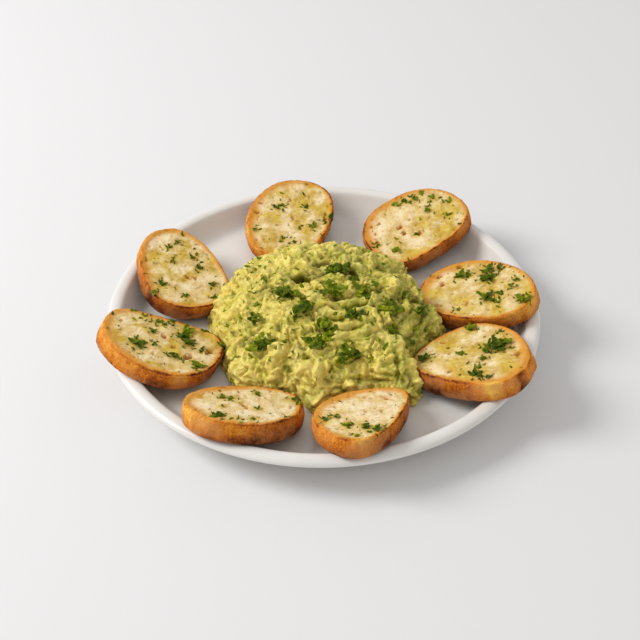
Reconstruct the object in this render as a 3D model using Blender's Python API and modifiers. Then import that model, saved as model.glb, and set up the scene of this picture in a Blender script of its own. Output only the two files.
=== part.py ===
"""Guacamole heaped on a flat plate, with eight slices of toasted baguette leaning on its lip.

Metres, +Z up.  The plate's foot stands on Z = 0, and the origin is under the middle of the
bounding box of everything.  While the pieces are made, the plate's axis is the Z axis.
"""

import math
from collections import namedtuple

import bmesh
import bpy
import numpy as np
from mathutils import Matrix, Vector, noise

GAP = 0.0003                # air left between pieces that touch

# ---- the plate: a coupe with a rolled lip and a foot ring
PLATE_RADIUS = 0.135
PLATE_HEIGHT = 0.025
FLOOR_TOP = 0.010           # the floor that the food lies on
FLOOR_RADIUS = 0.114        # where the floor starts to curve up into the wall
LIP_TUBE = 0.0034           # radius of the lip's round edge
LIP_ENDS = (155.0, -40.0)   # the lip's arc in degrees, from its inner to its outer end
WALL_CURVE = 2.1            # exponent of the wall's rise from the floor to the lip
UNDERSIDE = 0.0042          # height of the hidden underside round the foot
UNDER_LIP = (-0.0020, -0.0062)    # outwards and up: from the lip's circle to the bottom of the lip
UNDER_WALL = (0.0030, 0.0034)     # from the floor's edge and the underside to the bottom of the wall
UNDER_EDGE = (-0.0100, 0.0006)    # and to the edge of the underside
FOOT_RADII = (0.084, 0.076)
FOOT_SLOPE = 0.0015         # how much the foot ring widens upwards on each side
WELL_HEIGHTS = (0.0032, 0.0036)   # of the underside inside the foot, at the foot and in the middle
PLATE_STEPS = 56
WALL_STEPS = 5
LIP_STEPS = 6

LIP_RADIUS = PLATE_RADIUS - LIP_TUBE      # circle that the lip's round edge is centred on
LIP_LEVEL = PLATE_HEIGHT - LIP_TUBE

# ---- the toast
# around: degrees round the plate.  out: from the plate's axis to the middle of the slice's face.
# turn: degrees from the outward direction to the slice's long axis.  length and width of the face,
# taper towards one end, bow of the long axis, square: 2 is an ellipse, more is boxier.
# thick, and bias: how far the crust runs outwards and sideways from the face down to the base.
# under: whether the guacamole lies over the slice's inner end.
Slice = namedtuple("Slice", "around out turn length width taper bow square thick bias under")
SLICES = [
    Slice(159.5, 0.0955, 133, 0.075, 0.0525, 0.16, -0.04, 2.4, 0.0140, (0.0020, -0.0020), True),
    Slice(102.5, 0.0885, 330, 0.076, 0.0555, 0.07, 0.10, 2.2, 0.0135, (0.0045, 0.0000), True),
    Slice(49.5, 0.0980, 161, 0.073, 0.0575, 0.09, -0.12, 2.4, 0.0140, (0.0030, 0.0010), True),
    Slice(2.2, 0.0960, 153, 0.076, 0.0565, 0.06, -0.07, 2.0, 0.0140, (0.0010, 0.0020), False),
    Slice(329.0, 0.1020, 266, 0.059, 0.0670, 0.25, 0.08, 2.4, 0.0130, (0.0000, -0.0020), False),
    Slice(284.5, 0.1060, 318, 0.066, 0.0510, 0.06, -0.34, 1.9, 0.0125, (0.0000, -0.0020), False),
    Slice(243.5, 0.1030, 130, 0.069, 0.0470, 0.00, -0.10, 2.0, 0.0135, (0.0010, 0.0015), False),
    Slice(199.0, 0.1015, 145, 0.075, 0.0535, 0.15, -0.29, 2.4, 0.0125, (0.0030, 0.0000), False),
]
SLICE_SIDES = 30
CRUST_RIM = 0.0022          # width of the raised crust round the crumb
CRUMB_DROP = 0.0006         # the crumb lies this far below the rim
CRUST_BULGE = 0.0008        # the crust stands out this far half way down
CRUST_UNEVEN = 0.0008       # how far the crust wanders from its smooth outline
CRUST_WAVES = 1.6           # how often it wanders round the slice
CRUMB_UNEVEN = 0.0005
CRUMB_WAVE = 0.0143         # about how far apart the crumb's rises are
BASE_CORNER = (0.0016, 0.0018)    # the crust rounds under to the base over this width and height
RIM_CORNER = 0.0014         # and over on to the rim from this far down
BASE_INSET = 0.0100         # inmost ring of the base, in from the outline
CRUMB_INSET = 0.0130        # inmost ring of the crumb, in from the outline
SLICE_SEED = 5.3            # step from one slice's unevenness to the next one's
EAR_SLICE = 4               # the slice whose split crust stands out in an ear
EAR_ANGLE = 92.0            # degrees round its face
EAR_SPREAD = 19.0
EAR_SIZE = 0.0045
MOST_TILT = 25.0
TILT_STEP = 0.1
LIP_SIGHT = 30              # degrees of the lip either way that a slice may lie on
CLEAR_AWAY = 0.030          # how far the guacamole is cleared off a slice and from under it

# ---- the guacamole
HEAP_CENTRE = (0.0020, -0.0040)
HEAP_RADIUS = 0.0730
HEAP_HEIGHT = 0.034         # above the plate's floor
HEAP_SHOULDER = 3.0         # how flat the top is
HEAP_EDGE = 0.62            # how steeply it falls at its edge
HEAP_SPOKES = 64
HEAP_RINGS = 21
HEAP_RING_CROWDING = 1.35   # 1 spaces the rings evenly, more crowds them towards the edge
HEAP_FOOT = 0.0016          # height of the low wall at the very edge
HEAP_CALM = 0.25            # share of the reach, at the edge, over which the lumps fade away
HEAP_WAVES = [(5, 2.0, 0.012), (9, 0.5, 0.010)]     # of the edge: how many, phase, share of the radius
# where the edge leaves the circle: degrees round the heap, spread in degrees, how far outwards
HEAP_LOBES = [(35, 24, -0.0060), (164, 14, 0.0060), (-134, 15, 0.0060), (-92, 22, -0.0035), (-55, 9, 0.0170)]
LUMP_SIZE = 0.0135
LUMP_HEIGHT = 0.0036
RIDGE_PITCH = 0.0090        # the strokes of the spoon that spread it
RIDGE_HEIGHT = 0.0013
RIDGE_CENTRE = (0.006, 0.060)
RIDGE_MIDDLE = (0.018, -0.012)
RIDGE_REACH = (0.034, 0.040)
RIDGE_SMOOTHING = 0.7       # how much of the lumps the spoon has smoothed away

SHARP_ANGLE = 50.0          # edges sharper than this stay crisp

# name: colour, roughness
MATERIALS = {
    "glazed_plate": ((0.86, 0.85, 0.83), 0.22),
    "guacamole": ((0.56, 0.54, 0.19), 0.45),
    "toast": ((0.74, 0.50, 0.24), 0.80),
}


def material(name):
    """The material of this name, made the first time it is asked for."""
    found = bpy.data.materials.get(name)
    if found:
        return found
    colour, roughness = MATERIALS[name]
    made = bpy.data.materials.new(name)
    made.use_nodes = True
    shader = made.node_tree.nodes["Principled BSDF"]
    shader.inputs["Base Color"].default_value = (*colour, 1.0)
    shader.inputs["Roughness"].default_value = roughness
    shader.inputs["Metallic"].default_value = 0.0
    return made


def new_object(name, mesh, collection, root, material_name=None):
    piece = bpy.data.objects.new(name, mesh)
    collection.objects.link(piece)
    piece.parent = root
    if material_name:
        mesh.materials.append(material(material_name))
    return piece


# ---------------------------------------------------------------- the plate

def wall_height(radius):
    """Height of the plate's inside at a radius between the floor and the lip."""
    start = math.radians(LIP_ENDS[0])
    top_radius = LIP_RADIUS + LIP_TUBE * math.cos(start)
    top_height = LIP_LEVEL + LIP_TUBE * math.sin(start)
    share = min(max((radius - FLOOR_RADIUS) / (top_radius - FLOOR_RADIUS), 0.0), 1.0)
    return FLOOR_TOP + (top_height - FLOOR_TOP) * share ** WALL_CURVE


def plate_profile():
    """Half the plate's section, from the middle of the floor over the lip to under the foot."""
    first, last = (math.radians(end) for end in LIP_ENDS)
    lip = []
    for step in range(LIP_STEPS + 1):
        angle = first + (last - first) * step / LIP_STEPS
        lip.append((LIP_RADIUS + LIP_TUBE * math.cos(angle), LIP_LEVEL + LIP_TUBE * math.sin(angle)))
    wall = []
    for step in range(WALL_STEPS):
        radius = FLOOR_RADIUS + (lip[0][0] - FLOOR_RADIUS) * step / WALL_STEPS
        wall.append((radius, wall_height(radius)))
    foot_out, foot_in = FOOT_RADII
    under = [
        (LIP_RADIUS + UNDER_LIP[0], LIP_LEVEL + UNDER_LIP[1]),
        (FLOOR_RADIUS + UNDER_WALL[0], UNDERSIDE + UNDER_WALL[1]),
        (FLOOR_RADIUS + UNDER_EDGE[0], UNDERSIDE + UNDER_EDGE[1]),
        (foot_out + FOOT_SLOPE, UNDERSIDE),
        (foot_out, 0.0),
        (foot_in, 0.0),
        (foot_in - FOOT_SLOPE, WELL_HEIGHTS[0]),
        (0.0, WELL_HEIGHTS[1]),
    ]
    return [(0.0, FLOOR_TOP)] + wall + lip + under


def make_plate(collection, root):
    points = plate_profile()
    mesh = bpy.data.meshes.new("plate")
    mesh.from_pydata([(r, 0.0, z) for r, z in points], [(i, i + 1) for i in range(len(points) - 1)], [])
    plate = new_object("plate", mesh, collection, root, "glazed_plate")
    turn = plate.modifiers.new("turn", "SCREW")
    turn.steps = PLATE_STEPS
    turn.render_steps = PLATE_STEPS
    turn.use_merge_vertices = True
    turn.merge_threshold = 0.0001
    turn.use_smooth_shade = True
    return plate


# ---------------------------------------------------------------- the toast

def face_outline(piece, grow=0.0, sides=SLICE_SIDES):
    """Points round a slice's face, grown outwards by a distance; x is outwards on the plate."""
    half_length = piece.length / 2 + grow
    half_width = piece.width / 2 + grow
    turn = math.radians(piece.turn)
    points = []
    for side in range(sides):
        angle = math.tau * side / sides
        along = math.copysign(abs(math.cos(angle)) ** (2 / piece.square), math.cos(angle))
        across = math.copysign(abs(math.sin(angle)) ** (2 / piece.square), math.sin(angle))
        x = half_length * along
        y = half_width * ((1 + piece.taper * along) * across + piece.bow * (1 - along ** 2))
        points.append((x * math.cos(turn) - y * math.sin(turn), x * math.sin(turn) + y * math.cos(turn)))
    return points


def slice_ring(piece, index, grow, depth, uneven=CRUST_UNEVEN):
    """One ring of a slice: how far it stands out from the face's outline, and its depth."""
    share = min(max(-depth / piece.thick, 0.0), 1.0)
    ring = []
    for side, (x, y) in enumerate(face_outline(piece, grow)):
        angle = math.tau * side / SLICE_SIDES
        seat = Vector((math.cos(angle), math.sin(angle), 0.0)) * CRUST_WAVES
        seat.z = index * SLICE_SEED + share
        wander = noise.noise(seat) * uneven
        if index == EAR_SLICE:
            off = (math.degrees(angle) - EAR_ANGLE + 180) % 360 - 180
            wander += EAR_SIZE * math.exp(-(off / EAR_SPREAD) ** 2) * math.sin(math.pi * share)
        stretch = 1 + wander / math.hypot(x, y)
        ring.append((x * stretch + piece.bias[0] * share, y * stretch + piece.bias[1] * share, depth))
    return ring


def slice_rings(piece, index):
    """The slice's rings of points, from its base up over the crust to the crumb."""
    thick = piece.thick
    crust = [
        (-BASE_INSET, -thick),
        (-BASE_CORNER[0], -thick),
        (CRUST_BULGE * 0.3, -thick + BASE_CORNER[1]),
        (CRUST_BULGE, -thick * 0.5),
        (CRUST_BULGE * 0.3, -RIM_CORNER),
        (-CRUST_RIM * 0.4, 0.0),
    ]
    crumb = [(-CRUST_RIM, -CRUMB_DROP * 0.2), (-CRUST_RIM * 1.9, -CRUMB_DROP), (-CRUMB_INSET, -CRUMB_DROP)]
    rings = [slice_ring(piece, index, grow, depth) for grow, depth in crust]
    for grow, depth in crumb:
        ring = slice_ring(piece, index, grow, depth, CRUST_UNEVEN * 0.3)
        rings.append([(x, y, z + crumb_rise(x, y, index)) for x, y, z in ring])
    return rings


def crumb_rise(x, y, index):
    return noise.noise(Vector((x / CRUMB_WAVE, y / CRUMB_WAVE, index * SLICE_SEED))) * CRUMB_UNEVEN


def loft(mesh_name, rings):
    """A closed mesh through rings of points, with a fan over its first and its last ring."""
    bm = bmesh.new()
    loops = [[bm.verts.new(point) for point in ring] for ring in rings]
    count = len(rings[0])
    for low, high in zip(loops, loops[1:]):
        for side in range(count):
            after = (side + 1) % count
            bm.faces.new((low[side], low[after], high[after], high[side]))
    for loop, flip in ((loops[0], True), (loops[-1], False)):
        middle = sum((vert.co for vert in loop), Vector()) / count
        hub = bm.verts.new(middle)
        for side in range(count):
            corners = [loop[side], loop[(side + 1) % count], hub]
            bm.faces.new(corners[::-1] if flip else corners)
    bmesh.ops.recalc_face_normals(bm, faces=bm.faces)
    mesh = bpy.data.meshes.new(mesh_name)
    bm.to_mesh(mesh)
    bm.free()
    mesh.shade_smooth()
    mesh.set_sharp_from_angle(angle=math.radians(SHARP_ANGLE))
    return mesh


def inside(outline, x, y):
    """Whether a point lies inside a closed outline."""
    found = False
    for (x1, y1), (x2, y2) in zip(outline, outline[1:] + outline[:1]):
        if (y1 > y) != (y2 > y) and x < x1 + (y - y1) * (x2 - x1) / (y2 - y1):
            found = not found
    return found


def lowest_seat(piece, rings, tilt):
    """How high the slice's face has to be, at a tilt, to clear the plate with the rings of its base."""
    cos, sin = math.cos(tilt), math.sin(tilt)
    height = 0.0
    for ring in rings[1:4]:
        for x, y, z in ring:
            radius = math.hypot(piece.out + x * cos - z * sin, y)
            if radius < LIP_RADIUS - LIP_TUBE:
                height = max(height, wall_height(radius) + GAP - x * sin - z * cos)
    base = [(x, y) for x, y, z in rings[2]]
    for degrees in range(-LIP_SIGHT, LIP_SIGHT + 1):
        angle = math.radians(degrees)
        outwards = LIP_RADIUS * math.cos(angle) - LIP_TUBE * sin
        x = (outwards - piece.out) / cos - math.tan(tilt) * piece.thick
        if inside(base, x, LIP_RADIUS * math.sin(angle)):
            crown = LIP_LEVEL + LIP_TUBE * cos
            height = max(height, crown + GAP + piece.thick * cos - x * sin)
    return height


def settle(piece, rings):
    """The tilt and height at which the slice comes to rest, inner end on the floor, outer on the lip."""
    best = None
    for step in range(round(MOST_TILT / TILT_STEP) + 1):
        tilt = math.radians(step * TILT_STEP)
        height = lowest_seat(piece, rings, tilt)
        middle = height - piece.thick / 2 * math.cos(tilt)
        if best is None or middle < best[0]:
            best = (middle, tilt, height)
    return best[1], best[2]


def make_slices(collection, cutters, root):
    """The slices, and for each a cutter that clears the guacamole off it and from under it."""
    tools = []
    for index, piece in enumerate(SLICES):
        rings = slice_rings(piece, index)
        tilt, height = settle(piece, rings)
        around = math.radians(piece.around)
        spot = Vector((piece.out * math.cos(around), piece.out * math.sin(around), height))
        pose = Matrix.Translation(spot) @ Matrix.Rotation(around, 4, "Z") @ Matrix.Rotation(-tilt, 4, "Y")
        toast = new_object(f"toast_{index + 1}", loft("toast", rings), collection, root, "toast")
        toast.matrix_world = pose
        tools.append(make_clearance(piece, pose, index, cutters, root))
    return tools


def make_clearance(piece, pose, index, cutters, root):
    """A slice grown by the gap and drawn out downwards, and upwards where nothing lies on it."""
    room = 2 * GAP
    top = CRUMB_UNEVEN + GAP if piece.under else CLEAR_AWAY
    sections = [
        (CRUST_BULGE + room, -piece.thick - CLEAR_AWAY),
        (CRUST_BULGE + room, -piece.thick * 0.5),
        (CRUST_BULGE * 0.3 + room, 0.0),
        (CRUST_BULGE * 0.3 + room, top),
    ]
    rings = [slice_ring(piece, index, grow, depth) for grow, depth in sections]
    tool = new_object(f"clearance_{index + 1}", loft("clearance", rings), cutters, root)
    tool.matrix_world = pose
    tool.hide_render = True
    tool.display_type = "WIRE"
    return tool


# ---------------------------------------------------------------- the guacamole

def heap_reach(angle):
    """How far the heap reaches from its middle in a direction."""
    uneven = sum(size * math.cos(count * angle + phase) for count, phase, size in HEAP_WAVES)
    reach = HEAP_RADIUS * (1 + uneven)
    for place, spread, outwards in HEAP_LOBES:
        off = (math.degrees(angle) - place + 180) % 360 - 180
        reach += outwards * math.exp(-(off / spread) ** 2)
    return reach


def heap_height(share, x, y):
    """The heap's height above its base, at a share of its reach and at x, y on the plate."""
    body = HEAP_HEIGHT * (1 - share ** HEAP_SHOULDER) ** HEAP_EDGE
    fade = min(1.0, (1 - share) / HEAP_CALM)
    lumps = noise.fractal(Vector((x, y, 0.4)) / LUMP_SIZE, 1.0, 2.0, 2) * LUMP_HEIGHT
    across = (x - RIDGE_MIDDLE[0]) / RIDGE_REACH[0]
    along = (y - RIDGE_MIDDLE[1]) / RIDGE_REACH[1]
    spread = math.exp(-(across ** 2 + along ** 2))
    distance = math.hypot(x - RIDGE_CENTRE[0], y - RIDGE_CENTRE[1])
    ridges = math.cos(math.tau * distance / RIDGE_PITCH) * RIDGE_HEIGHT * spread
    return max(body + fade * (lumps * (1 - RIDGE_SMOOTHING * spread) + ridges), HEAP_FOOT)


def make_guacamole(collection, root, tools):
    base = FLOOR_TOP + GAP
    rings = []
    for ring in range(HEAP_RINGS + 1):
        share = 1 - (ring / (HEAP_RINGS + 1)) ** HEAP_RING_CROWDING
        points = []
        for spoke in range(HEAP_SPOKES):
            angle = math.tau * spoke / HEAP_SPOKES
            reach = heap_reach(angle) * share
            x = HEAP_CENTRE[0] + reach * math.cos(angle)
            y = HEAP_CENTRE[1] + reach * math.sin(angle)
            if ring == 0:
                points.append((x, y, base + HEAP_FOOT))
            else:
                points.append((x, y, base + heap_height(share, x, y)))
        if ring == 0:
            rings.append([(x, y, base) for x, y, z in points])
        rings.append(points)
    heap = new_object("guacamole", loft("guacamole", rings), collection, root, "guacamole")
    for tool in tools:
        cut = heap.modifiers.new(tool.name, "BOOLEAN")
        cut.operation = "DIFFERENCE"
        cut.solver = "EXACT"
        cut.object = tool
    return heap


# ---------------------------------------------------------------- the whole

def new_collection(name):
    made = bpy.data.collections.new(name)
    bpy.context.scene.collection.children.link(made)
    return made


def centre_over_origin(root, pieces):
    """Move everything sideways so that the middle of its bounding box is over the origin."""
    bpy.context.view_layer.update()
    depsgraph = bpy.context.evaluated_depsgraph_get()
    corners = []
    for piece in pieces:
        seen = piece.evaluated_get(depsgraph)
        corners += [seen.matrix_world @ vertex.co for vertex in seen.data.vertices]
    points = np.array([tuple(corner) for corner in corners])
    middle = (points.min(axis=0) + points.max(axis=0)) / 2
    root.location = (-middle[0], -middle[1], 0.0)


def main():
    for piece in list(bpy.data.objects):
        bpy.data.objects.remove(piece, do_unlink=True)
    parts = new_collection("guacamole_with_toast")
    cutters = new_collection("cutters")
    root = bpy.data.objects.new("plate_axis", None)
    parts.objects.link(root)
    make_plate(parts, root)
    tools = make_slices(parts, cutters, root)
    make_guacamole(parts, root, tools)
    centre_over_origin(root, [piece for piece in parts.objects if piece.type == "MESH"])


main()
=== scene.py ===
"""Looks for a plate of guacamole: glazed plate, toasted baguette, mashed avocado, chopped parsley.

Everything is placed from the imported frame.  Metres, +Z up, +X to the right in the main view.
"""

import math
from collections import namedtuple
from itertools import product

import bpy
import numpy as np
from mathutils import Matrix, Vector
from mathutils.bvhtree import BVHTree


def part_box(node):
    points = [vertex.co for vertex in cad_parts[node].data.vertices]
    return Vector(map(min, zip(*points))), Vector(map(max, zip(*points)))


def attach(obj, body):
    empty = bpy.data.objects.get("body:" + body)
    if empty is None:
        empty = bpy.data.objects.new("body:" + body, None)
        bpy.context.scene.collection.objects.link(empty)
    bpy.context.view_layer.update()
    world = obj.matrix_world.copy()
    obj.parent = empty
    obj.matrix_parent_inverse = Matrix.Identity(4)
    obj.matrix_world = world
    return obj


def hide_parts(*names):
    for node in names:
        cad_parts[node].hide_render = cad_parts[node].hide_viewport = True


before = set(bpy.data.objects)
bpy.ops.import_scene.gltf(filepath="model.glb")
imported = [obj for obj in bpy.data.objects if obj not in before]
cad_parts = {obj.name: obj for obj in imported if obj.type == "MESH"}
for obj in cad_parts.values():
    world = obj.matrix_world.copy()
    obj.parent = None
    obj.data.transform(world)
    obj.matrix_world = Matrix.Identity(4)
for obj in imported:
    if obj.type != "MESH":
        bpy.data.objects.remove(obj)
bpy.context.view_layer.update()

MM = 0.001
SLICES = sorted(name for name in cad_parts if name.startswith("toast_"))
PLATE_LOW, PLATE_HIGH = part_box("plate")
AXIS = Vector(((PLATE_LOW.x + PLATE_HIGH.x) / 2, (PLATE_LOW.y + PLATE_HIGH.y) / 2, 0.0))
PLATE_RADIUS = (PLATE_HIGH.x - PLATE_LOW.x) / 2
PLATE_HEIGHT = PLATE_HIGH.z

# ---- the view
CAMERA_ELEVATION = 40.1
CAMERA_DISTANCE = 0.807
CAMERA_LENS = 70.0
CAMERA_ROLL = -1.0
AIM = Vector((-0.0020, 0.0154, 0.0))  # from the plate's axis

# ---- the light: a soft box to the left and a little behind, and a pale room all round
KEY_AROUND = 175.0  # degrees round the plate from +X
KEY_ELEVATION = 40.0
KEY_DISTANCE = 2.0
KEY_SIZE = 0.95
KEY_POWER = 27.5
KEY_COLOUR = (0.985, 0.99, 1.0)
ROOM_STRENGTH = 0.62
ROOM_COLOUR = (1.0, 0.99, 0.98, 1.0)
TABLE_COLOUR = (230, 229, 229)
TABLE_HALF = 4.0

# A wave of noise: height in mm or in share of a colour, size of its swells in mm, seed, and how fast
# it changes up and down compared with sideways; 0 makes the same pattern at every height.
Layer = namedtuple("Layer", "height size seed upright", defaults=(1.0,))

# ---- the plate, as in the frame
LIP_HALF_WIDTH, LIP_HALF_HEIGHT = 4.6 * MM, 3.0 * MM
LIP_RADIUS, LIP_LEVEL = PLATE_RADIUS - LIP_HALF_WIDTH, PLATE_HEIGHT - LIP_HALF_HEIGHT
LIP_ENDS = (155.0, -40.0)  # the arc of the rolled lip, in degrees
LIP_ROOT = (2.0 * MM, 6.2 * MM)  # where the lip meets the outside: in and down from its middle
FLOOR_TOP = 10.0 * MM
FLOOR_RADIUS = 114.0 * MM
WALL_CURVE = 2.1
UNDERSIDE = 4.2 * MM
WALL_FOOT = (3.0 * MM, 3.4 * MM)  # out from the floor's edge and up from the underside
FLOOR_FOOT = (10.0 * MM, 0.6 * MM)  # in from the floor's edge and up from the underside
FOOT_RADII = (84.0 * MM, 76.0 * MM)
FOOT_FLARE = 1.5 * MM
FOOT_ROUNDING = 1.2 * MM
DISH_INSIDE_FOOT = (1.0 * MM, 0.6 * MM)  # below the underside, at the foot and on the axis
PLATE_STEPS = 160

# ---- the toast
TOAST_VOXEL = 0.65 * MM
TOAST_SMOOTHING = 5
EDGE_DEPTH = 1.2 * MM  # a slice's upper edge is looked for down to this far below its face
EDGE_SECTOR = 4  # degrees
NOISE_STEP = 0.4  # metres between the places where two slices read their noise
# Where the face and the underside begin: upward or downward part of the normal, and mm above the face.
FACE_SLOPE, FACE_LEVEL, UNDER_SLOPE = (0.45, 0.85), (-3.0, -1.5), (0.5, 0.9)
# Crust turns to crumb this many mm in from the upper edge, more or less.
CRUST_EDGE, WANDER = (0.9, 2.4), (Layer(0.8, 6, 1), Layer(0.4, 2.2, 2))
# The crumb: a lightly rumpled face with ragged pores.  Depths are in mm.
RUMPLE = (Layer(0.4, 9, 7), Layer(0.25, 3.4, 8), Layer(0.10, 1.3, 9))
PORES = (Layer(1.0, 4.2, 3), Layer(0.6, 2.1, 4))
PORE_STRETCH = (1.0, 1.5, 0.4)
PORE_FROM, PORE_DEPTH = (0.48, 0.95), 0.7
SMALL_PORE_SIZE, SMALL_PORE_DEPTH = 2.2, 0.3
HOLE_DEPTH_GAIN = 1.6
RAGGED = (Layer(0.6, 2.0, 5), Layer(0.25, 0.9, 6))
HALO_WIDTH = 3.0
FACE_SUNK = 0.25
RIM_RELIEF = (Layer(0.2, 5, 15), Layer(0.15, 1.5, 16))
# The crust: blistered and a little wavy.
BLISTERS = (Layer(0.45, 9, 11), Layer(0.20, 3, 12, 0.4), Layer(0.10, 1.4, 13, 0.4))
DENT_SIZE, DENT_DEPTH = 4, 0.35
# How brown the crust is, on a scale from 0 to 1; the dent and crease amounts darken it as painted shade.
FACE_PALER, FOOT_BROWNER, SCORCH_BROWNER, DENT_PAINTED_SHADE, CREASE_PAINTED_SHADE = 0.12, 0.42, 0.36, 0.12, 0.30
BLOTCHES = (Layer(0.22, 16, 21), Layer(0.10, 4.0, 22, 0.4), Layer(0.08, 1.5, 23, 0.12))
PALE_RUN, CHAR = -0.50, 0.70
CRUST_COLOURS = {
    0.0: (242, 194, 84), 0.20: (226, 154, 56), 0.42: (206, 122, 26),
    0.64: (166, 84, 8), 0.84: (112, 48, 0), 1.0: (56, 20, 2),
}
CREASE_WOBBLE, RUN_WOBBLE = (Layer(2.0, 3, 17),), (Layer(3.0, 2.5, 18),)  # in degrees
BROWN_BITS, BROWN_EDGE = (Layer(1.0, 3.4, 26),), (Layer(1.0, 9, 30),)
DUST = (Layer(1.0, 12, 27), Layer(0.4, 3, 28))
GOLDEN_WIDTH = (Layer(0.35, 12, 29, 0.0),)
BUTTER = (Layer(1.0, 13, 24), Layer(0.35, 4, 25))

# One slice.  bake: how brown its crust is.  scorch, golden: the sides whose crust is browner and
# whose face is toasted furthest in, degrees from outwards.  butter: how much of the crumb is soaked.
# holes: rows of a Hole.  herbs: x, y and size of the larger bits.  All places are in mm from the
# middle of the face, x outwards.
Look = namedtuple("Look", "bake scorch golden butter holes herbs")
# A hollow: its middle, its length and width, the turn of its length in degrees, and its depth.
Hole = namedtuple("Hole", "x y length width turn depth")
LOOKS = {
    "toast_1": Look(0.46, 90, 10, 0.68,
        [(-7, 5, 5, 3, 0, 1.1), (-11, 3, 4, 2, 20, 0.9), (20, -12, 3, 2, 40, 0.7), (-17, 9, 6, 3, 60, 0.5)],
        [(13, -30, 3), (12, -22, 4), (15, -14, 4), (8, -4, 4), (-3, -14, 5), (23, 5, 3), (-11, -7, 5),
         (-24, 4, 5), (7, 29, 6), (4, 21, 6), (-4, 19, 3), (-13, 22, 4), (-31, 18, 3), (-28, 12, 4)]),
    "toast_2": Look(0.46, -60, 55, 0.74,
        [(17, 16, 4, 2, 80, 1.0), (10, 21, 5, 3, 60, 1.2), (16, -4, 4, 2, 10, 0.8), (-1, -2, 5, 3, 0, 0.7)],
        [(10, 6, 6), (13, 2, 5), (19, -14, 3), (7, -12, 4), (-5, 25, 4), (-11, -4, 3), (-12, -14, 6),
         (-6, -26, 6), (-9, -23, 4), (-21, -17, 3), (-18, 9, 4), (-21, 3, 4)]),
    "toast_3": Look(0.53, -165, 125, 0.76,
        [(-7, 7, 5, 3, 0, 1.6), (-10, 1, 4, 3, 30, 1.8), (-16, 24, 3, 2, 0, 1.0), (-12, 21, 3, 2, 0, 1.0),
         (-20, 18, 3, 2, 40, 1.0), (-25, 13, 5, 2, 60, 1.0), (-5, -8, 5, 3, 0, 1.0)],
        [(10, 22, 6), (15, 18, 6), (18, 14, 6), (24, 12, 4), (25, 2, 6), (15, -2, 6), (5, -1, 3),
         (27, -10, 5), (16, -15, 4), (-7, -6, 3), (-17, 3, 3), (-28, 11, 4), (-24, -3, 6)]),
    "toast_4": Look(0.47, 180, 150, 0.88,
        [(-21, 21, 4, 3, 30, 1.6), (-7, 26, 4, 3, 0, 1.8), (-20, 13, 5, 4, 60, 1.5), (-8, -10, 6, 3, 70, 0.8),
         (-24, -7, 2, 2, 0, 1.0), (19, 4, 3, 2, 20, 0.6)],
        [(-8, 16, 7), (-4, 17, 6), (10, 16, 8), (16, 16, 5), (10, 8, 9), (5, 7, 6), (26, 1, 5), (20, -3, 6),
         (4, -9, 9), (14, -10, 6), (11, -17, 5), (26, -20, 8), (31, -19, 6), (-15, -15, 4)]),
    "toast_5": Look(0.53, -160, -10, 0.90,
        [(25, 7, 4, 3, 20, 1.5), (-7, -18, 6, 3, 60, 1.1), (-25, 7, 5, 3, 30, 1.0), (18, 12, 3, 2, 0, 0.7)],
        [(-15, 22, 7), (-8, 0, 6), (10, 15, 10), (13, 10, 9), (5, 9, 8), (4, 4, 6), (7, -2, 5), (4, 26, 4),
         (0, -9, 3), (9, -12, 5), (10, -19, 7), (17, -18, 5), (-28, -11, 7)]),
    "toast_6": Look(0.42, 40, -140, 0.15,
        [(-13, 17, 7, 3, 30, 1.4), (-11, -2, 3, 2, 0, 0.8), (-2, 8, 4, 2, 60, 0.6), (-18, 6, 4, 2, 0, 0.6)],
        [(3, -22, 5), (0, -16, 5), (12, -12, 6), (16, -3, 6), (20, -1, 5), (25, 3, 6), (23, 8, 6),
         (25, -9, 4)]),
    "toast_7": Look(0.43, 90, -60, 0.20,
        [(0, 1, 7, 4, 60, 0.9), (8, 14, 3, 2, 0, 0.6), (-8, -6, 4, 2, 60, 0.5)],
        [(-1, -13, 5), (-3, -9, 4), (9, -9, 3), (20, -6, 7), (19, 2, 3), (17, 5, 3), (12, 12, 3), (-1, 9, 4),
         (-17, -1, 4), (-22, 20, 6), (-20, 26, 3)]),
    "toast_8": Look(0.55, 150, 0, 0.68,
        [(-12, 15, 8, 4, 20, 2.0), (-4, -6, 5, 4, 70, 1.3), (-6, 5, 4, 3, 0, 1.2), (-27, 12, 7, 4, 20, 1.1),
         (8, 10, 5, 3, 50, 0.6)],
        [(8, -33, 4), (22, -30, 3), (3, -26, 5), (10, -24, 3), (-3, -20, 5), (-6, -16, 5), (-14, -18, 5),
         (-18, -8, 8), (-14, -4, 7), (-16, 2, 8), (3, -11, 5), (15, 0, 8), (12, -2, 6), (5, 1, 5),
         (-5, 14, 7), (-23, 11, 4), (-36, 8, 7), (-16, 24, 7), (-33, -8, 4)]),
}
# Creases down the crust: angle round the slice from outwards, half-width in degrees, depth in mm.
CREASES = {
    "toast_1": (-75, 5, 0.8),
    "toast_2": (-100, 5, 0.8),
    "toast_5": (-17, 4, 3.2),
    "toast_7": (-120, 5, 1.0),
}
# Where butter left the crust pale, and where it is burnt: angle and half-width in degrees.
PALE_RUNS = {"toast_8": (93, 10), "toast_6": (-12, 8), "toast_5": (-48, 9)}
CHARRED = {"toast_8": (168, 5), "toast_2": (-97, 3), "toast_1": (74, 4)}

# ---- the guacamole
GUACAMOLE_VOXEL = 0.62 * MM
HEAP_SMOOTHING = 14
HEAP_KEPT = 0.70  # share of its faces kept, as its flat underside needs few
NEAR_TOAST = 3.5 * MM  # the mash keeps its frame's outline this close to a slice
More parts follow.
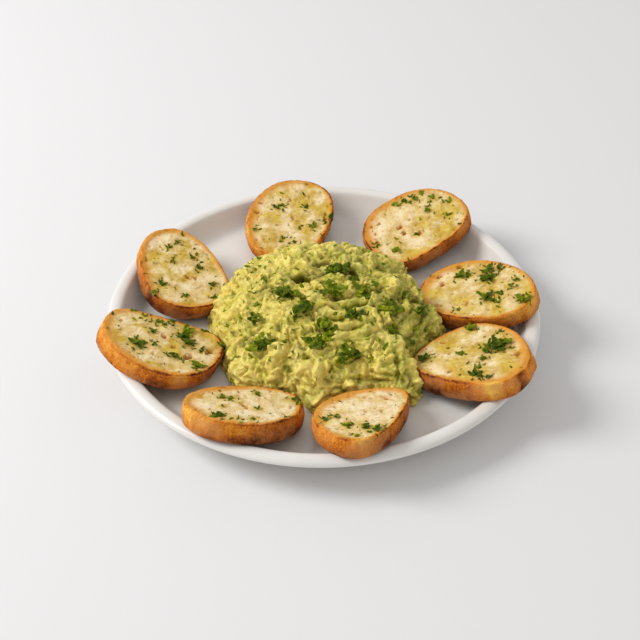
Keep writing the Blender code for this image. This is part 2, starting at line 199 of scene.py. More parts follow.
# Strokes of the spoon: middle and reach, centre of the arcs, and the ridges' pitch and height, in mm.
Stroke = namedtuple("Stroke", "x y reach_x reach_y centre_x centre_y pitch height")
STROKES = [
    Stroke(13, -30, 15, 23, 11, 6, 8.6, 6.6),
    Stroke(52, -28, 12, 18, -6, 6, 7.6, 2.8),
    Stroke(-26, -22, 15, 10, 8, 40, 7.0, 2.2),
]
HOLLOWS = [
    Hole(-13, 3, 14, 10, 10, 11.0),
    Hole(43, -60, 5, 18, 5, 2.6),
    Hole(-30, -53, 14, 4, 10, 2.0),
    Hole(20, 12, 5, 12, 30, 3.0),
    Hole(-32, 8, 12, 5, -30, 2.4),
    Hole(2, 22, 14, 6, 10, 2.4),
    Hole(36, -6, 6, 14, -20, 2.6),
    Hole(-8, -30, 12, 5, -30, 2.0),
]
# Where the mash runs out between the two front slices: middle x, y, half-width and reach in mm.
SPILL_X, SPILL_Y, SPILL_HALF_WIDTH, SPILL_REACH = -6.0, -66.0, 6.0, 9.0
# The relief of the mash, from wide swells to crumbs: height and size in mm, and seed.  CALMER takes
# this share away where the spoon went, and of the two fine layers in the smooth patches too.
SWELL, GRAIN = (Layer(2.4, 24, 34),), (Layer(0.22, 1.5, 38),)
WIDE_FOLDS, FOLDS, FINE_FOLDS = Layer(6.0, 15, 35), Layer(6.0, 8, 36), Layer(2.9, 4.2, 37)
CURDS, CRUMB = Layer(2.0, 10, 45), Layer(1.0, 3.6, 43)
CALMER = {WIDE_FOLDS: 0.8, CURDS: 0.85, FOLDS: 0.72, FINE_FOLDS: 0.5, CRUMB: 0.6}
SMOOTH_PATCHES = (Layer(1.0, 16, 40),)
STROKE_UNEVEN = (Layer(0.75, 9, 33),)
HOLLOW_RAGGED = (Layer(0.3, 5, 39),)
GREEN_PATCHES = (Layer(1.0, 12, 41), Layer(0.7, 4, 42))
FOLD_BEND, STROKE_BEND, CHUNK_BEND = 3.0 * MM, 1.9 * MM, 1.5 * MM  # how far the noise is bent
CHUNK_SIZE, CHUNK_SEED = 7, 44

# ---- the herbs
STRAY_HERBS = 14  # small bits strewn on each slice besides
STRAY_SIZE = (0.8, 2.2)  # mm
TOAST_HERB_GROWTH = 1.15  # the bits on the slices are this much larger than LOOKS says
OVERHANG = 0.4  # share of a bit of leaf that may stick out past what it lies on
LEAF_DROP = 6 * MM  # a leaf lies on nothing that is further below or above it than this
LEAF_THICKNESS = 0.18 * MM
# Painted highlight: leaves are lightened at their edges.
LEAF_EDGE_PAINTED_HIGHLIGHT = 0.5  # how much lighter a leaf is at its edges than along its middle
# How wide the bits of leaf are for their length, how closely they follow the relief under them, how
# high they lie, their mean tone and its spread, and the range of each blade's own tone.
Laying = namedtuple("Laying", "slim settle lift tone spread own_tone")
ON_TOAST = Laying(0.85, 0.90, 0.10 * MM, 0.16, 0.24, (-0.15, 0.25))
ON_HEAP = Laying(1.15, 0.35, 0.60 * MM, 0.12, 0.26, (-0.15, 0.30))
# The larger leaves on the guacamole: x, y and size in mm, from the plate's axis.
LEAVES = [
    (6, 10, 10), (18, 5, 9), (11, 14, 13), (8, -10, 14), (2, -12, 10), (25, -10, 12), (-26, -12, 12),
    (-22, -16, 9), (-15, -14, 9), (-13, -27, 12), (-11, -24, 8), (18, -31, 12), (42, -22, 14),
    (38, -24, 9), (52, -5, 7), (59, -18, 8), (-41, -27, 9), (-16, -31, 7), (1, -42, 13), (-3, -50, 13),
    (3, -47, 9), (41, -41, 8), (-24, -51, 5), (-35, -48, 11), (-40, -50, 13), (35, -54, 6),
    (15, -59, 14), (11, -60, 8), (54, -41, 6), (33, -5, 7), (-6, -22, 6), (-37, 2, 6),
]
FLECKS = 300  # small green bits in the mash
FLECK_REACH = 78  # mm from the axis, either way
FLECK_TONES = (0.35, 1.0)


def srgb(red, green, blue):
    """A colour given as 0 to 255 on the screen, in linear light."""
    linear = []
    for value in (red, green, blue):
        share = value / 255
        linear.append(share / 12.92 if share <= 0.04045 else ((share + 0.055) / 1.055) ** 2.4)
    return (*linear, 1.0)


# ======== noise, for many points at once

def chance(cells, seed):
    """A repeatable random number from 0 to 1 for each row of three whole numbers."""
    mixed = cells[..., 0] * 374761393 + cells[..., 1] * 668265263 + cells[..., 2] * 1440670441
    mixed = (mixed + seed * 1013904223) & 0xFFFFFFFF
    mixed = ((mixed ^ (mixed >> 15)) * 2246822519) & 0xFFFFFFFF
    mixed = ((mixed ^ (mixed >> 13)) * 3266489917) & 0xFFFFFFFF
    return ((mixed ^ (mixed >> 16)) & 0xFFFFFF) / 0xFFFFFF


def waves(points, size, seed=0):
    """Smooth gradient noise, about -1 to 1, whose swells are a size apart."""
    place = points / size
    low = np.floor(place).astype(np.int64)
    part = place - low
    fade = part ** 3 * (part * (part * 6 - 15) + 10)
    total = np.zeros(len(points))
    for corner in product((0, 1), repeat=3):
        cell = low + corner
        slope = np.stack([chance(cell, seed * 3 + axis) for axis in range(3)], axis=1) * 2 - 1
        height = ((part - corner) * slope).sum(axis=1)
        weight = np.prod(np.where(np.array(corner) == 1, fade, 1 - fade), axis=1)
        total += height * weight
    return total * 1.6


def layered(points, layers):
    """Waves of several sizes added up."""
    total = np.zeros(len(points))
    for layer in layers:
        total = total + layer.height * waves(points * (1, 1, layer.upright), layer.size * MM, layer.seed)
    return total


def bent(points, size, seed):
    """A smooth noise for each of the three axes, which bends the pattern of another noise."""
    return np.stack([waves(points, size, seed + axis) for axis in range(3)], axis=1)


def strewn(points, size, seed=0):
    """Distances, in sizes, to the nearest two of points strewn one to a cell, and the nearest's number."""
    place = points / size
    low = np.floor(place).astype(np.int64)
    nearest = np.full(len(points), 9.0)
    second = np.full(len(points), 9.0)
    number = np.zeros(len(points))
    for step in product((-1, 0, 1), repeat=3):
        cell = low + step
        spot = cell + np.stack([chance(cell, seed * 5 + axis) for axis in range(3)], axis=1)
        distance = np.linalg.norm(place - spot, axis=1)
        closer = distance < nearest
        second = np.where(closer, nearest, np.minimum(second, distance))
        nearest = np.where(closer, distance, nearest)
        number = np.where(closer, chance(cell, seed * 5 + 3), number)
    return nearest, second, number


def specks(points, size, seed, rarest, radii):
    """Strewn round spots: 1 inside the smaller radius, 0 outside the larger, for numbers above the rarest."""
    nearest, second, number = strewn(points, size, seed)
    return ramp(number, rarest, 1.0) * (1 - ramp(nearest, *radii))


def folds(points, size, seed=0):
    """Soft swells with sharp creases between them, drawn out in a way that changes from place to place."""
    total = np.zeros(len(points))
    weights = np.zeros(len(points))
    for index, degrees in enumerate((20, 80, 140)):
        turn = math.radians(degrees)
        along = points[:, 0] * math.cos(turn) + points[:, 1] * math.sin(turn)
        across = points[:, 1] * math.cos(turn) - points[:, 0] * math.sin(turn)
        weight = np.exp(3.0 * waves(points, size * 2.6, seed + 7 * index + 1))
        drawn = np.stack([along * 0.55, across * 1.25, points[:, 2]], axis=1)
        total += weight * np.abs(waves(drawn, size, seed + 7 * index)) ** 0.75
        weights += weight
    return total / weights - 0.33


def curds(points, size, seed=0):
    """Rounded lumps of uneven height with creases between them, about -0.5 to 0.5."""
    nearest, second, number = strewn(points, size, seed)
    dome = np.clip(1 - (nearest / 0.95) ** 2, 0, 1)
    crease = ramp(second - nearest, 0.0, 0.30)
    return dome * (0.45 + 0.75 * number) * (0.45 + 0.55 * crease) - 0.42


def ramp(value, low, high):
    """0 below low, 1 above high, and smooth between."""
    share = np.clip((value - low) / (high - low), 0.0, 1.0)
    return share * share * (3 - 2 * share)


def facing_share(around, angle):
    """1 on the side at this angle in degrees, 0 on the far side."""
    return 0.5 + 0.5 * np.cos(np.radians(around - angle))


def inside(hole, x, y, ragged=0.0):
    """How far inside a Hole a point at x, y in mm is: 1 in its middle, 0 outside."""
    turn = math.radians(hole.turn)
    along = (x - hole.x) * math.cos(turn) + (y - hole.y) * math.sin(turn)
    across = (y - hole.y) * math.cos(turn) - (x - hole.x) * math.sin(turn)
    distance = np.hypot(along / (hole.length / 2), across / (hole.width / 2)) + ragged
    return 1 - ramp(distance, 0.35, 1.15)


# ======== meshes

def triples(rows, field, kind=float):
    """A field of three numbers of every row of a mesh's data."""
    flat = np.empty(len(rows) * 3, kind)
    rows.foreach_get(field, flat)
    return flat.reshape(-1, 3)


def vertex_array(mesh):
    return triples(mesh.vertices, "co")


def set_vertices(mesh, points):
    mesh.vertices.foreach_set("co", points.astype(np.float32).ravel())
    mesh.update()


def set_attributes(mesh, **attributes):
    for name, values in attributes.items():
        layer = mesh.attributes.new(name, "FLOAT", "POINT")
        layer.data.foreach_set("value", np.clip(values, 0.0, 1.0).astype(np.float32))


def linked(name, data):
    """A new object in the scene."""
    made = bpy.data.objects.new(name, data)
    bpy.context.scene.collection.objects.link(made)
    return made


def new_piece(name, mesh, surface, slot, *nodes):
    """A visible piece of the part that rides on the root and stands for these nodes."""
    piece = linked(name, mesh)
    mesh.materials.clear()
    mesh.materials.append(surface)
    mesh.shade_smooth()
    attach(piece, "root")
    if nodes:
        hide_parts(*nodes)
    return piece


def modified(mesh, modifiers):
    """A new mesh made from this one by modifiers, each a kind with its settings."""
    work = linked("work", mesh)
    for kind, settings in modifiers.items():
        modifier = work.modifiers.new(kind, kind)
        for key, value in settings.items():
            setattr(modifier, key, value)
    depsgraph = bpy.context.evaluated_depsgraph_get()
    made = bpy.data.meshes.new_from_object(work.evaluated_get(depsgraph))
    bpy.data.objects.remove(work)
    return made


def fine_mesh(node, voxel, smoothing):
    """A node's shape as an even fine mesh with its facets smoothed out."""
    mesh = modified(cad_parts[node].data.copy(), {
        "WELD": {"merge_threshold": 0.01 * MM},
        "REMESH": {"mode": "VOXEL", "voxel_size": voxel},
        "SMOOTH": {"factor": 0.5, "iterations": smoothing},
    })
    if "sharp_face" in mesh.attributes:
        mesh.attributes.remove(mesh.attributes["sharp_face"])
    return mesh


def tree_of(*meshes):
    """The meshes as one tree to look up near points and rays in."""
    points, faces = [], []
    for mesh in meshes:
        mesh.calc_loop_triangles()
        faces += (triples(mesh.loop_triangles, "vertices", np.int32) + len(points)).tolist()
        points += vertex_array(mesh).tolist()
    return BVHTree.FromPolygons(points, faces)


# ======== materials

class Surface:
    """A material and its shader, with short ways to add nodes to it."""

    def __init__(self, name):
        self.material = bpy.data.materials.new(name)
        self.material.use_nodes = True
        self.tree = self.material.node_tree
        self.shader = self.tree.nodes["Principled BSDF"]

    def add(self, kind, sockets=(), **settings):
        """A new node with these settings, and these links or plain values at its input sockets."""
        node = self.tree.nodes.new(kind)
        count = len(self.tree.nodes)
        node.location = (-200 * (count % 12 + 1), -180 * (count // 12))
        for key, value in settings.items():
            setattr(node, key, value)
        self.feed(node, dict(sockets))
        return node

    def feed(self, node, sockets):
        """Lead other nodes' outputs or plain values into a node's input sockets."""
        for socket, source in sockets.items():
            if isinstance(source, bpy.types.NodeSocket):
                self.tree.links.new(source, node.inputs[socket])
            else:
                node.inputs[socket].default_value = source

    def shade(self, sockets):
        self.feed(self.shader, sockets)

    def attribute(self, name):
        return self.add("ShaderNodeAttribute", attribute_name=name).outputs["Fac"]

    def maths(self, operation, *values, clamp=False):
        return self.add("ShaderNodeMath", enumerate(values), operation=operation, use_clamp=clamp).outputs[0]

    def mix(self, share, first, second):
        """A colour between two, by share; each is a socket or a plain value."""
        return self.add("ShaderNodeMix", {0: share, 6: first, 7: second}, data_type="RGBA").outputs[2]

    def tint(self, colour, share, strength, toward):
        """The colour carried towards another, by a share and at most by a strength."""
        return self.mix(self.maths("MULTIPLY", share, strength), colour, toward)

    def between(self, value, low, high, new_low=0.0, new_high=1.0):
        """A value carried over smoothly from one range into another."""
        sockets = enumerate((value, low, high, new_low, new_high))
        return self.add("ShaderNodeMapRange", sockets, interpolation_type="SMOOTHSTEP").outputs[0]

    def speckle(self, size, detail=3.0, roughness=0.55, seed=0.0):
        """Noise over the object's own space, with swells of about this size in mm."""
        where = self.add("ShaderNodeTexCoord").outputs["Object"]
        scale = 1 / (size * MM)
        sockets = {"Vector": where, "W": seed, "Scale": scale, "Detail": detail, "Roughness": roughness}
        return self.add("ShaderNodeTexNoise", sockets, noise_dimensions="4D").outputs["Fac"]

    def relief(self, height, depth):
        """The shader's normal for fine bumps of this depth in mm."""
        bump = self.add("ShaderNodeBump", {"Strength": 1.0, "Distance": depth * MM, "Height": height})
        return bump.outputs["Normal"]

    def scale_of_colours(self, value, steps):
        """The colour that a value from 0 to 1 has among steps, which start at 0 and end at 1."""
        node = self.add("ShaderNodeValToRGB", {0: value})
        marks = node.color_ramp.elements
        marks[0].color, marks[1].color = srgb(*steps[0.0]), srgb(*steps[1.0])
        for position in list(steps)[1:-1]:
            marks.new(position).color = srgb(*steps[position])
        return node.outputs[0]


def glaze_material():
    glaze = Surface("white_glaze")
    shade = glaze.between(glaze.speckle(60), 0.3, 0.7)
    glaze.shade({
        "Base Color": glaze.mix(shade, srgb(226, 223, 217), srgb(231, 228, 222)),
        "Roughness": glaze.between(glaze.speckle(9), 0.3, 0.7, 0.18, 0.26),
        "Normal": glaze.relief(glaze.speckle(14, detail=1.0), 0.05),
        "IOR": 1.5,
    })
    return glaze.material


def crust_colour(bread, brown, grain):
    """From butter-pale to charred, with fine grains and flecks."""
    fleck = bread.speckle(3.2, seed=4.0)
    browned = bread.maths("ADD", brown, bread.maths("MULTIPLY_ADD", grain, 1.3, -0.65))
    browned = bread.maths("ADD", browned, bread.maths("MULTIPLY_ADD", fleck, 0.4, -0.2), clamp=True)
    return bread.scale_of_colours(browned, CRUST_COLOURS)


def crumb_colour(bread, butter):
    """Pale bread, or yellow where butter soaked in, with a toasted mottle and dry bright patches."""
    airy = bread.between(bread.speckle(7.0, detail=4.0, roughness=0.6, seed=2.0), 0.36, 0.62)
    pale = bread.mix(airy, srgb(228, 198, 132), srgb(248, 228, 186))
    soaked = bread.mix(airy, srgb(194, 156, 42), srgb(221, 190, 78))
    colour = bread.mix(butter, pale, soaked)
    mottle = bread.between(bread.speckle(2.2, roughness=0.6, seed=9.0), 0.50, 0.68)
    colour = bread.tint(colour, mottle, 0.5, srgb(196, 148, 80))
    bright = bread.between(bread.speckle(3.4, detail=4.0, roughness=0.65, seed=11.0), 0.52, 0.66)
    dry = bread.maths("MULTIPLY_ADD", butter, -0.34, 0.6)
    return bread.tint(colour, bright, dry, srgb(248, 228, 184))


def toast_material():
    """Crust and crumb, told apart by the attributes that make_toast stores."""
    bread = Surface("toasted_bread")
    crumb, butter = bread.attribute("crumb"), bread.attribute("butter")
    grain = bread.speckle(1.0, detail=4.0, roughness=0.7)
    crust = crust_colour(bread, bread.attribute("brown"), grain)
    crust = bread.tint(crust, bread.attribute("dusty"), 0.6, srgb(198, 132, 76))
    # Painted shade in the pores and holes.
    face = bread.mix(bread.attribute("pore"), crumb_colour(bread, butter), srgb(146, 92, 22))
    face = bread.tint(face, bread.attribute("golden"), 0.9, srgb(218, 146, 48))
    oily = bread.maths("MULTIPLY", crumb, butter)
    bread.shade({
        "Base Color": bread.mix(crumb, crust, face),
        "Roughness": bread.between(oily, 0.0, 1.0, 0.66, 0.42),
        "Normal": bread.relief(grain, 0.20),
        "Specular IOR Level": 0.18,
        "Subsurface Weight": 0.12,
        "Subsurface Radius": (1.0, 0.55, 0.25),
        "Subsurface Scale": 1.5 * MM,
    })
    return bread.material


def guacamole_material():
    """Yellow-green mash, coloured by the attributes that make_guacamole stores, with painted shade and a
    painted highlight among them.
    """
    mash = Surface("mashed_avocado")
    patch = mash.between(mash.speckle(7), 0.36, 0.66)
    colour = mash.mix(patch, srgb(226, 200, 98), srgb(194, 184, 58))
    # Green patches at random, plus painted shade that makes the mash greener and darker towards the right.
    colour = mash.mix(mash.attribute("green"), colour, srgb(160, 162, 40))
    olive = mash.between(mash.attribute("chunk"), 0.30, 0.12)
    colour = mash.tint(colour, olive, 0.5, srgb(160, 150, 76))
    # Painted highlight: the raised lumps are lightened towards pale cream.
    colour = mash.tint(colour, mash.attribute("high"), 0.6, srgb(240, 220, 124))
    grain = mash.between(mash.speckle(1.5, detail=4.0, roughness=0.65, seed=3.0), 0.32, 0.70)
    colour = mash.tint(colour, grain, 0.35, srgb(242, 228, 136))
    # Painted shade: the mash is darkened in its creases, hollows and ridge valleys, and more towards the
    # right.
    colour = mash.mix(mash.attribute("deep"), colour, srgb(112, 104, 12))
    smear = mash.between(mash.speckle(5.0, detail=5.0, roughness=0.7, seed=6.0), 0.57, 0.66)
    colour = mash.tint(colour, smear, 0.6, srgb(112, 134, 30))
    mash.shade({
        # Painted shade: the deepest hollow is darkened almost to black-green.
        "Base Color": mash.tint(colour, mash.attribute("pit"), 0.85, srgb(58, 56, 4)),
        "Roughness": mash.between(grain, 0.0, 1.0, 0.26, 0.50),
        "Normal": mash.relief(mash.speckle(1.2, detail=4.0, roughness=0.6, seed=5.0), 0.25),
        "Specular Tint": srgb(255, 248, 190),
        "Subsurface Weight": 0.35,
        "Subsurface Radius": (1.0, 0.9, 0.25),
        "Subsurface Scale": 2.0 * MM,
    })
    return mash.material


def herb_material():
    leaf = Surface("parsley")
    vein = leaf.between(leaf.speckle(1.4), 0.35, 0.65)
    dark = leaf.mix(vein, srgb(34, 54, 2), srgb(68, 92, 4))
    light = leaf.mix(vein, srgb(122, 138, 6), srgb(168, 174, 28))
    leaf.shade({
        "Base Color": leaf.mix(leaf.attribute("tone"), dark, light),
        "Roughness": 0.34,
        "Normal": leaf.relief(leaf.speckle(0.9, seed=2.0), 0.18),
        "Specular IOR Level": 0.20,
        "Specular Tint": srgb(250, 240, 150),
    })
    return leaf.material


# ======== the plate

def lip_point(angle):
    """Radius and height of the rolled lip at an angle round its middle."""
    return LIP_RADIUS + LIP_HALF_WIDTH * math.cos(angle), LIP_LEVEL + LIP_HALF_HEIGHT * math.sin(angle)


def wall_height(radius):
    """Height of the plate's inside at a radius between the floor and the lip."""
    top_radius, top_height = lip_point(math.radians(LIP_ENDS[0]))
    share = min(max((radius - FLOOR_RADIUS) / (top_radius - FLOOR_RADIUS), 0.0), 1.0)
    return FLOOR_TOP + (top_height - FLOOR_TOP) * share ** WALL_CURVE


def rounded(points, size, steps=4):
    """The same line of points with its corners rounded off over a distance."""
    line = [points[0]]
    for before, corner, after in zip(points, points[1:], points[2:]):
        ends = []
        for other in (before, after):
            reach = min(size / max(math.dist(corner, other), 1e-9), 0.5)
            ends.append(np.array(corner) + np.subtract(other, corner) * reach)
        for share in np.linspace(0, 1, steps + 1):
            middle = 2 * share * (1 - share) * np.array(corner)
            line.append(tuple((1 - share) ** 2 * ends[0] + middle + share ** 2 * ends[1]))
    line.append(points[-1])
    return line


def make_plate():
    first, last = (math.radians(end) for end in LIP_ENDS)
    floor = [(FLOOR_RADIUS * share, FLOOR_TOP) for share in (0.0, 0.3, 0.6, 0.9)]
    wall = [(r, wall_height(r)) for r in np.linspace(FLOOR_RADIUS, lip_point(first)[0], 14)[:-1]]
    lip = [lip_point(a) for a in np.linspace(first, last, 22)]
    foot_out, foot_in = FOOT_RADII
    under = rounded([
        lip[-1],
        (LIP_RADIUS - LIP_ROOT[0], LIP_LEVEL - LIP_ROOT[1]),
        (FLOOR_RADIUS + WALL_FOOT[0], UNDERSIDE + WALL_FOOT[1]),
        (FLOOR_RADIUS - FLOOR_FOOT[0], UNDERSIDE + FLOOR_FOOT[1]),
        (foot_out + FOOT_FLARE, UNDERSIDE),
        (foot_out, 0.0),
        (foot_in, 0.0),
        (foot_in - FOOT_FLARE, UNDERSIDE - DISH_INSIDE_FOOT[0]),
        (0.0, UNDERSIDE - DISH_INSIDE_FOOT[1]),
    ], FOOT_ROUNDING)
    section = floor + wall + lip + under[1:]
    points = [(0.0, 0.0, section[0][1])]
    for radius, height in section[1:-1]:
        points += [(radius * math.cos(a), radius * math.sin(a), height)
                   for a in np.linspace(0, math.tau, PLATE_STEPS, endpoint=False)]
    points.append((0.0, 0.0, section[-1][1]))
    faces = []
    rings = len(section) - 2
    for side in range(PLATE_STEPS):
        after = (side + 1) % PLATE_STEPS
        faces.append((0, 1 + side, 1 + after))
        for ring in range(rings - 1):
            low, high = 1 + ring * PLATE_STEPS, 1 + (ring + 1) * PLATE_STEPS
            faces.append((low + side, high + side, high + after, low + after))
        outer = 1 + (rings - 1) * PLATE_STEPS
        faces.append((outer + side, len(points) - 1, outer + after))
    mesh = bpy.data.meshes.new("plate")
    mesh.from_pydata([tuple(Vector(p) + AXIS) for p in points], [], faces)
    return new_piece("glazed_plate", mesh, glaze_material(), "plate", "plate")


# ======== the toast

def face_frame(node):
    """Middle of a slice's face, and its outward, sideways and upward directions."""
    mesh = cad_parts[node].data
    tops = [(face.area, face.normal, face.center) for face in mesh.polygons if face.normal.z > 0.8]
    normal = sum((n * a for a, n, c in tops), Vector()).normalized()
    middle = sum((c * a for a, n, c in tops), Vector()) / sum(a for a, n, c in tops)
    outwards = Vector((middle.x - AXIS.x, middle.y - AXIS.y, 0.0))
    outwards = (outwards - normal * outwards.dot(normal)).normalized()
    return middle, outwards, normal.cross(outwards), normal


def edge_radius(local, angles):
    """How far a slice's upper edge is from the middle of its face in each direction."""
    upper = local[local[:, 2] > -EDGE_DEPTH]
    around = np.degrees(np.arctan2(upper[:, 1], upper[:, 0]))
    sector = np.round(around / EDGE_SECTOR).astype(int) % (360 // EDGE_SECTOR)
    widest = np.zeros(360 // EDGE_SECTOR)
    np.maximum.at(widest, sector, np.hypot(upper[:, 0], upper[:, 1]))
    return np.interp(angles, np.arange(len(widest)) * EDGE_SECTOR, widest, period=360)


class Slice:
    """A slice's fine mesh, with what is needed to shape and colour each of its points.

    local: metres from the middle of the face, outwards, sideways and up from the face; x, y and z are
    the same in mm.  place: where the noise is read.  around: degrees round the slice from outwards.
    inset: mm in from the upper edge.  down: 0 at the face to 1 at the foot.
    top, under, side, crumb: 1 on that part of the slice.
    """

    def __init__(self, name):
        self.name, self.look = name, LOOKS[name]
        middle, *axes = face_frame(name)
        self.middle, self.turn = np.array(middle), np.array(axes)
        self.mesh = fine_mesh(name, TOAST_VOXEL, TOAST_SMOOTHING)
        self.local = self.seen_from_face(vertex_array(self.mesh))
        self.facing = triples(self.mesh.vertex_normals, "vector") @ self.turn.T
        self.x, self.y, self.z = (self.local / MM).T
        self.place = self.local + np.array((0.0, 0.0, NOISE_STEP * (SLICES.index(name) + 1)))
        self.around = np.degrees(np.arctan2(self.y, self.x))
        reach = np.hypot(self.local[:, 0], self.local[:, 1])
        self.inset = (edge_radius(self.local, self.around) - reach) / MM
        cad = self.seen_from_face(vertex_array(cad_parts[name].data))
        self.down = np.clip(-self.local[:, 2] / -cad[:, 2].min(), 0, 1)
        self.wander = layered(self.place, WANDER)
        self.top = ramp(self.facing[:, 2], *FACE_SLOPE) * ramp(self.z, *FACE_LEVEL)
        self.under = ramp(-self.facing[:, 2], *UNDER_SLOPE)
        self.crumb = self.top * ramp(self.inset + self.wander, *CRUST_EDGE)
        self.side = (1 - self.top) * (1 - self.under)

    def seen_from_face(self, world):
        return (world - self.middle) @ self.turn.T

    def noise(self, layers):
        return layered(self.place, layers)

    def line_down(self, angle, half_width, wobble):
        """1 along a wobbly line down the side at an angle; the angle and half-width are in degrees."""
        away = (self.around + self.noise(wobble) - angle + 180) % 360 - 180
        return np.exp(-(away / half_width) ** 2)

    def crumb_relief(self):
        """How far the face rises in mm, the painted shade in its pores and holes, and the halo toasted round
        its holes.
        """
        drawn = self.place * PORE_STRETCH
        pores = ramp(layered(drawn, PORES), *PORE_FROM)
        strayed = drawn + 0.5 * MM * waves(self.place, 1.5 * MM, 5)[:, None]
        small = specks(strayed, SMALL_PORE_SIZE * MM, 6, 0.5, (0.12, 0.45))
        ragged = self.noise(RAGGED)
        holes, depth, halo = np.zeros((3, len(self.x)))
        for row in self.look.holes:
            hole = Hole(*row)
            sunk = inside(hole, self.x, self.y, ragged)
            holes = np.maximum(holes, sunk)
            depth = np.maximum(depth, sunk * hole.depth)
            wider = hole._replace(length=hole.length + HALO_WIDTH, width=hole.width + HALO_WIDTH)
            halo = np.maximum(halo, inside(wider, self.x, self.y, ragged) * min(0.35 * hole.depth, 0.5))
        rise = self.noise(RUMPLE) - PORE_DEPTH * pores - SMALL_PORE_DEPTH * small
        rise = rise - HOLE_DEPTH_GAIN * depth - FACE_SUNK
        # Painted shade: pores are darkened, and holes the more the deeper they are.
        dark = np.clip(0.55 * pores + 0.4 * small + holes * ramp(depth, 0.2, 1.2), 0, 1)
        return rise, dark * self.crumb, halo

    def crust_relief(self):
        """How far the crust rises in mm, and how much painted shade darkens its dents and its crease."""
        dents = specks(self.place, DENT_SIZE * MM, 14, 0.6, (0.1, 0.5))
        rise = self.noise(BLISTERS) - DENT_DEPTH * dents
        # Painted shade: the dents and the crease are darkened.
        painted_recess_shade = DENT_PAINTED_SHADE * dents
        if self.name in CREASES:
            angle, half_width, depth = CREASES[self.name]
            crease = self.line_down(angle, half_width, CREASE_WOBBLE)
            rise = rise - depth * crease
            painted_recess_shade = painted_recess_shade + CREASE_PAINTED_SHADE * crease
        return rise, painted_recess_shade

    def brown(self, painted_recess_shade):
        """How brown the crust is: more at its foot, on the scorched side, in blotches and at its edge, and
        darker with painted shade in its dents and crease.
        """
        scorched = facing_share(self.around, self.look.scorch)
        brown = self.look.bake - FACE_PALER + FOOT_BROWNER * ramp(self.down, 0.0, 1.0)
        brown = brown + SCORCH_BROWNER * (scorched - 0.45)
        brown = brown + self.noise(BLOTCHES) + painted_recess_shade
        if self.name in PALE_RUNS:
            run = self.line_down(*PALE_RUNS[self.name], RUN_WOBBLE)
            brown = brown + PALE_RUN * (1 - 0.5 * self.down) * run
        if self.name in CHARRED:
            brown = brown + CHAR * self.line_down(*CHARRED[self.name], RUN_WOBBLE)
        rim = self.top * (1 - self.crumb)
        bits = ramp(self.noise(BROWN_BITS), 0.0, 0.6) * ramp(scorched, 0.45, 0.9)
        brown = brown + rim * (0.10 + 0.40 * bits * (1 - ramp(self.inset, 0.6, 2.2)))
        edge = ramp(self.noise(BROWN_EDGE), -0.35, 0.25) * (1 - ramp(self.inset, 0.3, 1.4))
        return brown + rim * 0.45 * edge

    def dusty(self):
        """Where flour is left on the crust."""
        return ramp(self.noise(DUST) + 0.6 * self.down, -0.1, 0.8) * self.side

    def golden(self, halo):
        """The toasted band inside the edge, wider on one side, and round the holes."""
        toasted = facing_share(self.around, self.look.golden)
        wide = np.clip(0.15 + 0.95 * toasted ** 2 + self.noise(GOLDEN_WIDTH), 0, 1)
        band = 1 - ramp(self.inset + 1.2 * self.wander, 1.2 + 1.8 * wide, 4.0 + 6.0 * wide)
        return np.maximum(self.top * band, halo)

    def butter(self):
        """Where butter soaked in: in patches, round the herbs and near the edge."""
        share = self.look.butter
        soak = ramp(self.noise(BUTTER), 0.75 - 1.5 * share, 0.95 - 0.6 * share)
        for x, y, size in self.look.herbs:
            away = np.hypot(self.x - x, self.y - y) / (size * 0.75 + 1.5)
            soak = np.maximum(soak, 0.95 * np.exp(-away ** 2))
        return np.maximum(soak, 0.6 * (1 - ramp(self.inset, 2.0, 6.0)))


def make_toast(name, surface):
    bread = Slice(name)
    face_rise, pore, halo = bread.crumb_relief()
    crust_rise, painted_recess_shade = bread.crust_relief()
    rim_rise = bread.noise(RIM_RELIEF)
    rise = bread.crumb * face_rise + bread.top * (1 - bread.crumb) * rim_rise + bread.side * crust_rise
    moved = bread.local + bread.facing * (rise * MM * (1 - bread.under))[:, None]
    set_vertices(bread.mesh, moved @ bread.turn + bread.middle)
    set_attributes(bread.mesh, crumb=bread.crumb, brown=bread.brown(painted_recess_shade), butter=bread.butter(),
                   pore=pore, golden=bread.golden(halo), dusty=bread.dusty())
    return new_piece(name.replace("toast", "slice"), bread.mesh, surface, "toast", name)


# ======== the guacamole

def spoon_strokes(local, bend):
    """Ridges left by the spoon: how far they rise in mm, and 1 where the spoon went."""
    x, y = local[:, 0] / MM, local[:, 1] / MM
    place = local + bend * STROKE_BEND
    uneven = 0.72 + layered(local, STROKE_UNEVEN)
    rise, spread = np.zeros((2, len(x)))
    for stroke in STROKES:
        reach = np.hypot((x - stroke.x) / stroke.reach_x, (y - stroke.y) / stroke.reach_y)
        near = 1 - ramp(reach, 0.55, 1.15)
        distance = np.hypot(place[:, 0] / MM - stroke.centre_x, place[:, 1] / MM - stroke.centre_y)
        fold = np.abs(np.cos(math.pi * distance / stroke.pitch)) ** 0.6
        rise += (fold - 0.75) * stroke.height * near * uneven
        spread = np.maximum(spread, near)
    return rise, spread


def mash_lumps(local, place, spread):
    """The folds and lumps of the mash in mm: the larger ones, and the fine ones."""
    def calmed(layer, pattern, calm):
        return layer.height * pattern(place, layer.size * MM, layer.seed) * (1 - CALMER[layer] * calm)

    lumps = calmed(WIDE_FOLDS, folds, spread)
    lumps += calmed(CURDS, curds, spread)
    lumps += calmed(FOLDS, folds, spread)
    smooth = np.maximum(ramp(layered(local, SMOOTH_PATCHES), 0.0, 0.6), spread)
    crumbs = calmed(FINE_FOLDS, folds, smooth)
    spots = specks(place, CRUMB.size * MM, CRUMB.seed, 0.5, (0.15, 0.6))
    crumbs += CRUMB.height * spots * (1 - CALMER[CRUMB] * smooth)
    return lumps, crumbs + layered(local, GRAIN)


